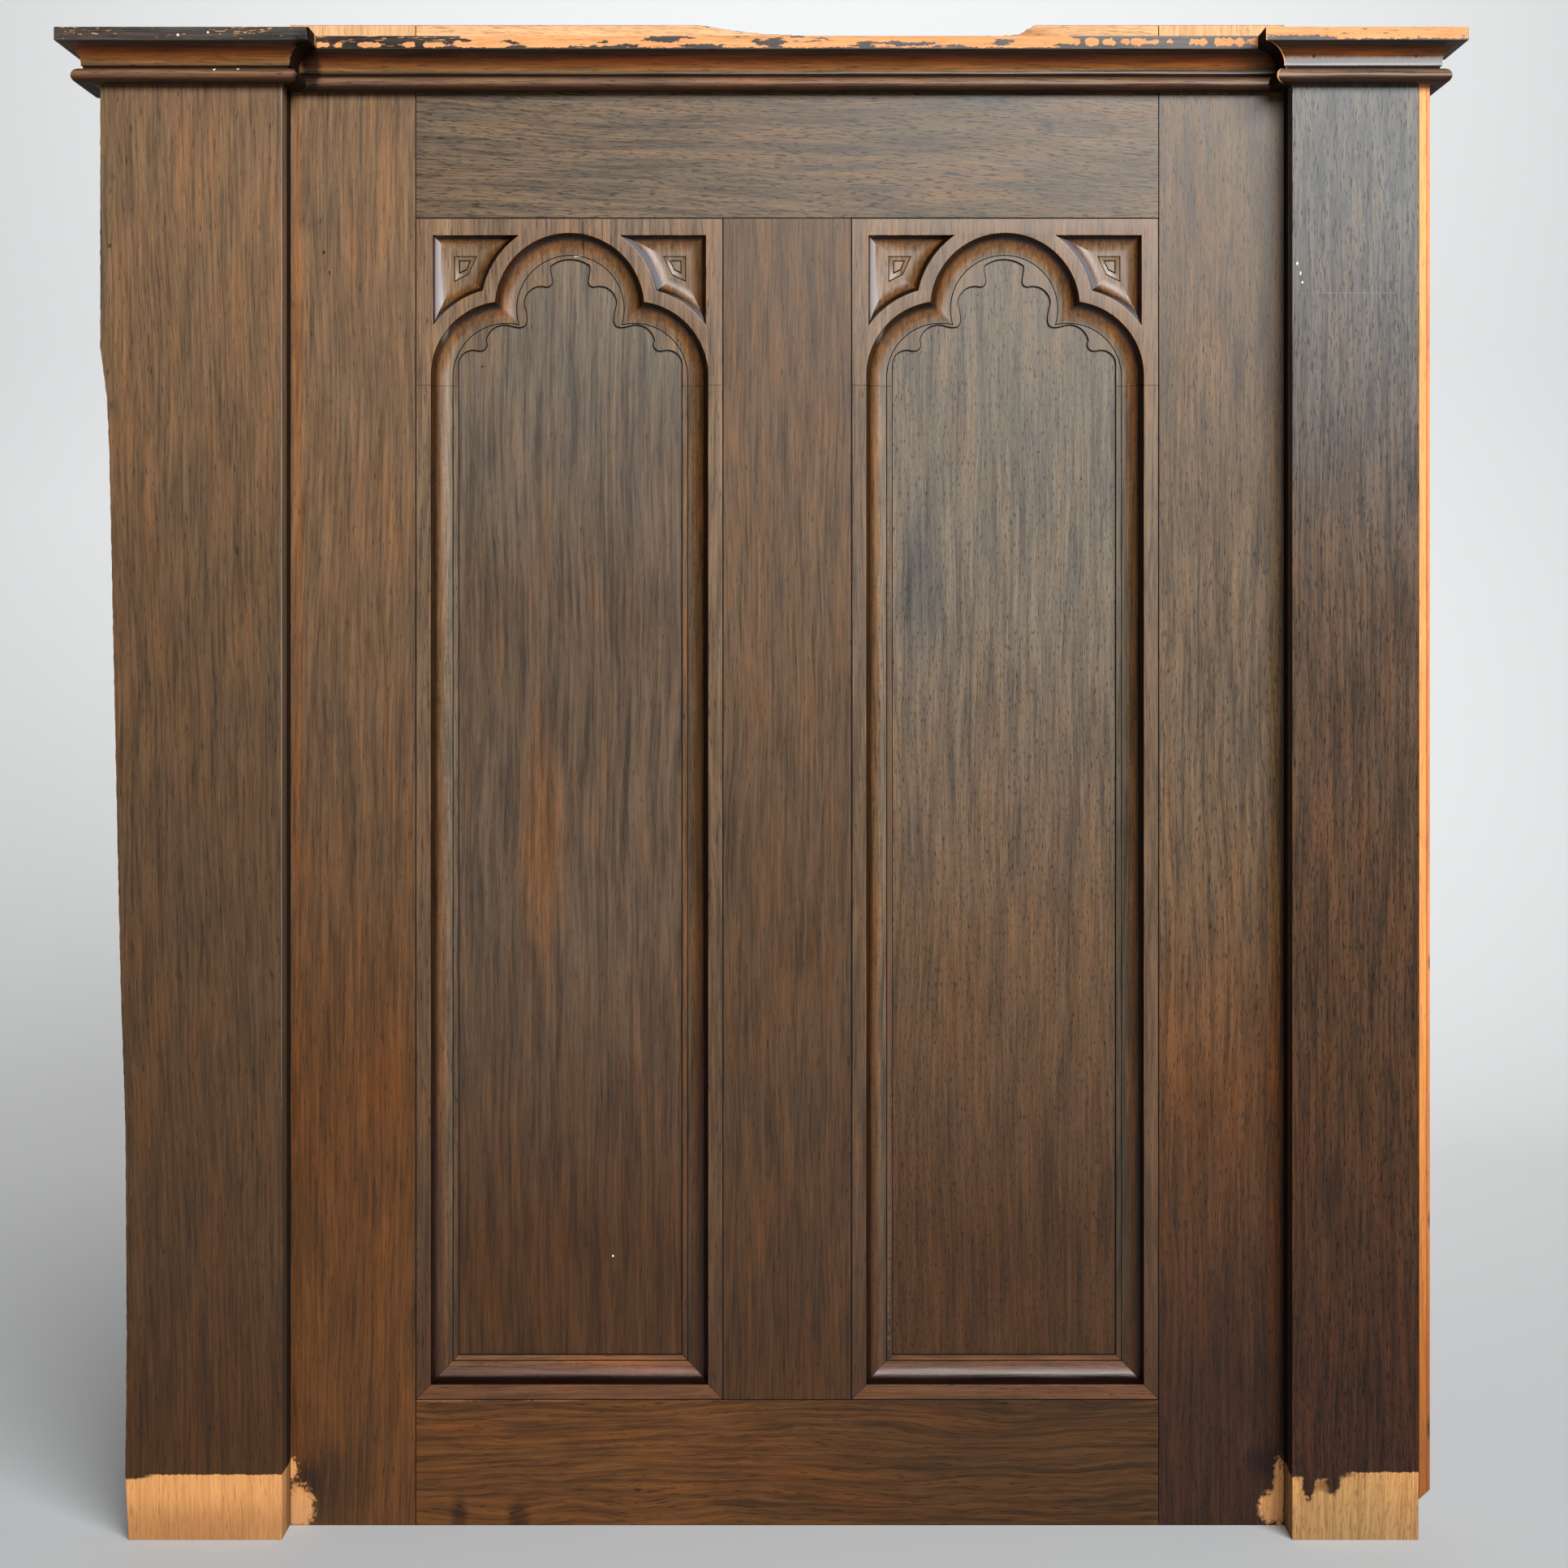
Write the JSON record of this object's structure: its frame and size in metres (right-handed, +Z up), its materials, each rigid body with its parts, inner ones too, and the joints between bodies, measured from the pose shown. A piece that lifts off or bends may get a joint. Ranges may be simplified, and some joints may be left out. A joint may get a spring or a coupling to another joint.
{
  "type": "carved oak wainscot panel",
  "caption": "Oak wall panelling bay: frame-and-panel field with arched trefoil-headed carved inserts between box pilasters, under a moulded cornice.",
  "frame": {"origin": "on the floor, under the middle of the panel's whole width and depth", "axes": "+X to the right seen from the front, +Z up, the carved front faces -Y and the flat back faces +Y"},
  "size_m": [1.1196, 0.0852, 1.219],
  "materials": {
    "stained_oak": "dark stained oak, satin, worn lighter towards the top",
    "carved_oak": "dark stained oak, satin, dark in the hollows",
    "cornice_oak": "dark stained oak, satin, stripped to bare wood on the top fillet",
    "bare_oak": "raw unfinished oak, matt"
  },
  "bodies": {
    "root": {"left_stile": "stained_oak", "right_stile": "stained_oak", "top_rail": "stained_oak", "bottom_rail": "stained_oak", "muntin": "stained_oak", "left_panel_head": "carved_oak", "left_panel_left_jamb": "carved_oak", "left_panel_right_jamb": "carved_oak", "left_panel_sill": "carved_oak", "left_panel_field": "stained_oak", "right_panel_head": "carved_oak", "right_panel_left_jamb": "carved_oak", "right_panel_right_jamb": "carved_oak", "right_panel_sill": "carved_oak", "right_panel_field": "stained_oak", "left_pilaster_front": "stained_oak", "left_pilaster_inner_return": "stained_oak", "left_pilaster_outer_return": "bare_oak", "right_pilaster_front": "stained_oak", "right_pilaster_inner_return": "stained_oak", "right_pilaster_outer_return": "bare_oak", "cornice_left_outer_return": "cornice_oak", "cornice_left_front": "cornice_oak", "cornice_left_inner_return": "cornice_oak", "cornice_middle": "cornice_oak", "cornice_right_inner_return": "cornice_oak", "cornice_right_front": "cornice_oak", "cornice_right_outer_return": "cornice_oak"}
  },
  "joints": []
}
